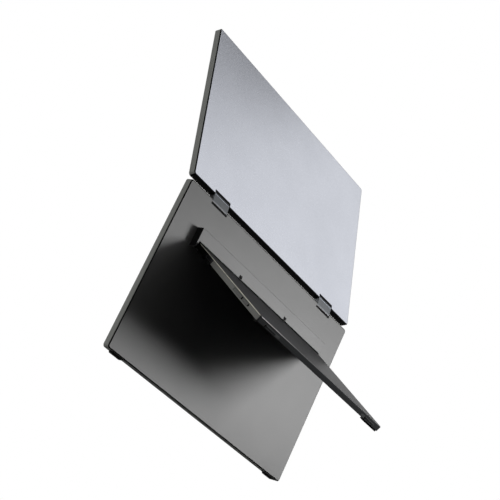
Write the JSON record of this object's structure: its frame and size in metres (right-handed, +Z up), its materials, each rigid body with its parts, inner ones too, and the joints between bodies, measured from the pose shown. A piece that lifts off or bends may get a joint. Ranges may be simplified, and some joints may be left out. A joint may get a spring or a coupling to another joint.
{
  "type": "foldable portable monitor",
  "caption": "Stacked portable monitor: upper and lower displays joined by dual-axis fold hinges, with a swing-out stand plate that holds the electronics and sockets.",
  "frame": {"origin": "on the desk, at the bottom centre of the opened monitor's bounding box", "axes": "+Z up, the displays face -Y, +X to the right of somebody who looks at the displays"},
  "size_m": [0.356, 0.1716, 0.4063],
  "materials": {
    "silver_aluminium": "fine bead-blasted, pale blue-grey anodised",
    "grey_aluminium": "fine bead-blasted, space-grey anodised",
    "grey_casting": "satin dark grey paint",
    "stand_aluminium": "fine bead-blasted, dark grey anodised",
    "hinge_casting": "satin blue-grey paint",
    "hinge_steel": "turned and ground",
    "spring_steel": "blued strip",
    "screw_steel": "black oxide",
    "bezel_plastic": "fine matte mould texture",
    "display_glass": "anti-glare polariser",
    "backlight_plastic": "white reflector film",
    "circuit_board": "green solder mask",
    "chip_plastic": "moulded epoxy",
    "spreader_metal": "rolled sheet",
    "socket_metal": "nickel-plated, drawn",
    "socket_plastic": "black moulding",
    "key_plastic": "satin mould texture",
    "grille_metal": "black perforated sheet",
    "black_rubber": "moulded"
  },
  "bodies": {
    "lower": {"lower_frame": "grey_casting", "lower_rear_cover": "grey_aluminium", "lower_bezel": "bezel_plastic", "lower_lcd_cell": "display_glass", "lower_backlight": "backlight_plastic", "lower_driver_board": "circuit_board", "lower_shaft_left": "hinge_steel", "lower_shaft_right": "hinge_steel", "panel_feet": "black_rubber", "stand_block": "grey_aluminium", "stand_arms": "hinge_steel"},
    "hinge_links": {"hinge_link_left": "hinge_casting", "hinge_link_right": "hinge_casting", "link_caps": "hinge_casting", "torque_sleeve_left": "spring_steel", "torque_sleeve_right": "spring_steel"},
    "upper": {"upper_frame": "grey_casting", "upper_rear_cover": "silver_aluminium", "upper_bezel": "bezel_plastic", "upper_lcd_cell": "display_glass", "upper_backlight": "backlight_plastic", "upper_driver_board": "circuit_board", "upper_shaft_left": "hinge_steel", "upper_shaft_right": "hinge_steel", "closing_bumpers": "black_rubber"},
    "stand": {"stand_shell": "stand_aluminium", "stand_cover": "stand_aluminium", "stand_shaft": "hinge_steel", "stand_feet": "black_rubber", "main_board": "circuit_board", "video_chip": "chip_plastic", "heat_spreader": "spreader_metal", "board_chips": "chip_plastic", "key_board": "circuit_board", "key_switches": "socket_metal", "mini_hdmi_socket": "socket_plastic", "usb_c_sockets": "socket_metal", "speaker_left": "chip_plastic", "speaker_right": "chip_plastic", "speaker_grilles": "grille_metal"},
    "power_key": {"power_key": "key_plastic"},
    "menu_rocker": {"menu_rocker": "key_plastic"}
  },
  "joints": [
    {"name": "fold_lower", "type": "hinge", "parent": "lower", "child": "hinge_links", "pos_m": [0, 0.02323, 0.18752], "axis": [-1, 0, 0], "range_deg": [-80, 55]},
    {"name": "fold_upper", "type": "hinge", "parent": "hinge_links", "child": "upper", "pos_m": [0, 0.02623, 0.1959], "axis": [-1, 0, 0], "range_deg": [-80, 55]},
    {"name": "stand_hinge", "type": "hinge", "parent": "lower", "child": "stand", "pos_m": [0, 0.00344, 0.13365], "axis": [1, 0, 0], "range_deg": [-60.6, 19.4]},
    {"name": "power_key_push", "type": "slide", "parent": "stand", "child": "power_key", "axis": [-1, 0, 0], "range_m": [0, 0.0004], "stiffness_N_per_m": 2000},
    {"name": "menu_rocker_tilt", "type": "hinge", "parent": "stand", "child": "menu_rocker", "pos_m": [0.13265, 0.05788, 0.04385], "axis": [0, 0.8581, 0.5135], "range_deg": [-2, 2], "stiffness_Nm_per_rad": 0.2}
  ],
  "couplings": [
    {"joint": "fold_upper", "follows": "fold_lower", "ratio": 1}
  ]
}
